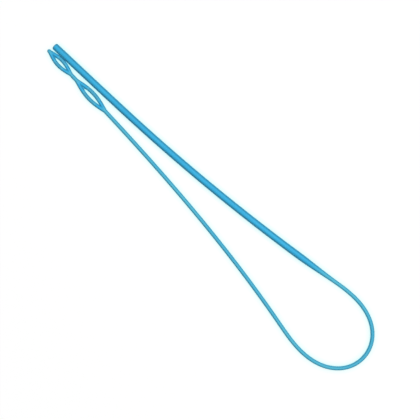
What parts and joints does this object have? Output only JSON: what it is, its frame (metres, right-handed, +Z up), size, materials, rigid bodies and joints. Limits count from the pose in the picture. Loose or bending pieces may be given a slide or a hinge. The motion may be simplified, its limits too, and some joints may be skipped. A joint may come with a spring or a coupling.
{
  "type": "flexible ribbon threader",
  "caption": "Flexible moulded plastic rod for pulling ribbon or cord through a casing, with a thick round handle, a thin shaft and two open eyes at the tip.",
  "frame": {"origin": "on the surface that the threader lies on, below the middle of the box that the looped rod fills", "axes": "+X from the butt end along the handle to the bend, +Y to the handle's side of the loop, +Z up from the surface"},
  "size_m": [0.144, 0.026, 0.0023],
  "materials": {
    "rod_plastic": "bright blue moulded plastic, smooth satin gloss",
    "eye_plastic": "the same blue plastic, with thin recessed webs in the crotches between the strands"
  },
  "bodies": {
    "handle_butt": {"handle_butt": "rod_plastic"},
    "handle_middle": {"handle_middle": "rod_plastic"},
    "handle_front": {"handle_front": "rod_plastic"},
    "taper": {"taper": "rod_plastic"},
    "shaft_01": {"shaft_01": "rod_plastic"},
    "shaft_02": {"shaft_02": "rod_plastic"},
    "shaft_03": {"shaft_03": "rod_plastic"},
    "shaft_04": {"shaft_04": "rod_plastic"},
    "shaft_05": {"shaft_05": "rod_plastic"},
    "shaft_06": {"shaft_06": "rod_plastic"},
    "shaft_07": {"shaft_07": "rod_plastic"},
    "shaft_08": {"shaft_08": "rod_plastic"},
    "shaft_09": {"shaft_09": "rod_plastic"},
    "shaft_10": {"shaft_10": "rod_plastic"},
    "shaft_11": {"shaft_11": "rod_plastic"},
    "shaft_12": {"shaft_12": "rod_plastic"},
    "shaft_13": {"shaft_13": "rod_plastic"},
    "shaft_14": {"shaft_14": "rod_plastic"},
    "shaft_15": {"shaft_15": "rod_plastic"},
    "shaft_16": {"shaft_16": "rod_plastic"},
    "rear_eye": {"rear_eye": "eye_plastic"},
    "eye_bridge": {"eye_bridge": "eye_plastic"},
    "front_eye": {"front_eye": "eye_plastic"}
  },
  "joints": [
    {"name": "handle_middle_flex", "type": "hinge", "parent": "handle_butt", "child": "handle_middle", "pos_m": [-0.03653, 0.00492, 0.00115], "axis": [0, 0, 1], "range_deg": [0, 15], "stiffness_Nm_per_rad": 0.0198},
    {"name": "handle_front_flex", "type": "hinge", "parent": "handle_middle", "child": "handle_front", "pos_m": [-0.0019, 0.00637, 0.00115], "axis": [0, 0, 1], "range_deg": [0, 15], "stiffness_Nm_per_rad": 0.0198},
    {"name": "taper_flex", "type": "hinge", "parent": "handle_front", "child": "taper", "pos_m": [0.03261, 0.00965, 0.00115], "axis": [0, 0, 1], "range_deg": [0, 15], "stiffness_Nm_per_rad": 0.0175},
    {"name": "shaft_01_flex", "type": "hinge", "parent": "taper", "child": "shaft_01", "pos_m": [0.04897, 0.01183, 0.00066], "axis": [0, 0, 1], "range_deg": [0, 12], "stiffness_Nm_per_rad": 0.0091},
    {"name": "shaft_02_flex", "type": "hinge", "parent": "shaft_01", "child": "shaft_02", "pos_m": [0.06053, 0.01178, 0.00066], "axis": [0, 0, 1], "range_deg": [0, 20], "stiffness_Nm_per_rad": 0.0086},
    {"name": "shaft_03_flex", "type": "hinge", "parent": "shaft_02", "child": "shaft_03", "pos_m": [0.0658, 0.00966, 0.00066], "axis": [0, 0, 1], "range_deg": [0, 20], "stiffness_Nm_per_rad": 0.0148},
    {"name": "shaft_04_flex", "type": "hinge", "parent": "shaft_03", "child": "shaft_04", "pos_m": [0.06905, 0.00671, 0.00066], "axis": [0, 0, 1], "range_deg": [0, 20], "stiffness_Nm_per_rad": 0.0182},
    {"name": "shaft_05_flex", "type": "hinge", "parent": "shaft_04", "child": "shaft_05", "pos_m": [0.07082, 0.00333, 0.00066], "axis": [0, 0, 1], "range_deg": [0, 20], "stiffness_Nm_per_rad": 0.0196},
    {"name": "shaft_06_flex", "type": "hinge", "parent": "shaft_05", "child": "shaft_06", "pos_m": [0.07132, -0.00043, 0.00066], "axis": [0, 0, 1], "range_deg": [0, 20], "stiffness_Nm_per_rad": 0.0197},
    {"name": "shaft_07_flex", "type": "hinge", "parent": "shaft_06", "child": "shaft_07", "pos_m": [0.07051, -0.00413, 0.00066], "axis": [0, 0, 1], "range_deg": [0, 20], "stiffness_Nm_per_rad": 0.0192},
    {"name": "shaft_08_flex", "type": "hinge", "parent": "shaft_07", "child": "shaft_08", "pos_m": [0.06838, -0.00747, 0.00066], "axis": [0, 0, 1], "range_deg": [0, 20], "stiffness_Nm_per_rad": 0.0172},
    {"name": "shaft_09_flex", "type": "hinge", "parent": "shaft_08", "child": "shaft_09", "pos_m": [0.06465, -0.01032, 0.00066], "axis": [0, 0, 1], "range_deg": [0, 20], "stiffness_Nm_per_rad": 0.0138},
    {"name": "shaft_10_flex", "type": "hinge", "parent": "shaft_09", "child": "shaft_10", "pos_m": [0.05881, -0.01213, 0.00066], "axis": [0, 0, 1], "range_deg": [0, 20], "stiffness_Nm_per_rad": 0.0069},
    {"name": "shaft_11_flex", "type": "hinge", "parent": "shaft_10", "child": "shaft_11", "pos_m": [0.04333, -0.01052, 0.00066], "axis": [0, 0, 1], "range_deg": [0, 12], "stiffness_Nm_per_rad": 0.005},
    {"name": "shaft_12_flex", "type": "hinge", "parent": "shaft_11", "child": "shaft_12", "pos_m": [0.02917, -0.00772, 0.00066], "axis": [0, 0, 1], "range_deg": [0, 12], "stiffness_Nm_per_rad": 0.0052},
    {"name": "shaft_13_flex", "type": "hinge", "parent": "shaft_12", "child": "shaft_13", "pos_m": [0.01494, -0.00537, 0.00066], "axis": [0, 0, 1], "range_deg": [0, 12], "stiffness_Nm_per_rad": 0.0052},
    {"name": "shaft_14_flex", "type": "hinge", "parent": "shaft_13", "child": "shaft_14", "pos_m": [0.00065, -0.00344, 0.00066], "axis": [0, 0, 1], "range_deg": [0, 12], "stiffness_Nm_per_rad": 0.0052},
    {"name": "shaft_15_flex", "type": "hinge", "parent": "shaft_14", "child": "shaft_15", "pos_m": [-0.01369, -0.00186, 0.00066], "axis": [0, 0, 1], "range_deg": [0, 12], "stiffness_Nm_per_rad": 0.0052},
    {"name": "shaft_16_flex", "type": "hinge", "parent": "shaft_15", "child": "shaft_16", "pos_m": [-0.02806, -0.00057, 0.00066], "axis": [0, 0, 1], "range_deg": [0, 12], "stiffness_Nm_per_rad": 0.0052},
    {"name": "rear_eye_flex", "type": "hinge", "parent": "shaft_16", "child": "rear_eye", "pos_m": [-0.04244, 0.00046, 0.00066], "axis": [0, 0, 1], "range_deg": [0, 10], "stiffness_Nm_per_rad": 0.0095},
    {"name": "eye_bridge_flex", "type": "hinge", "parent": "rear_eye", "child": "eye_bridge", "pos_m": [-0.05851, 0.00148, 0.00066], "axis": [0, 0, 1], "range_deg": [0, 10], "stiffness_Nm_per_rad": 0.0409},
    {"name": "front_eye_flex", "type": "hinge", "parent": "eye_bridge", "child": "front_eye", "pos_m": [-0.06081, 0.00162, 0.00066], "axis": [0, 0, 1], "range_deg": [0, 10], "stiffness_Nm_per_rad": 0.0463}
  ]
}
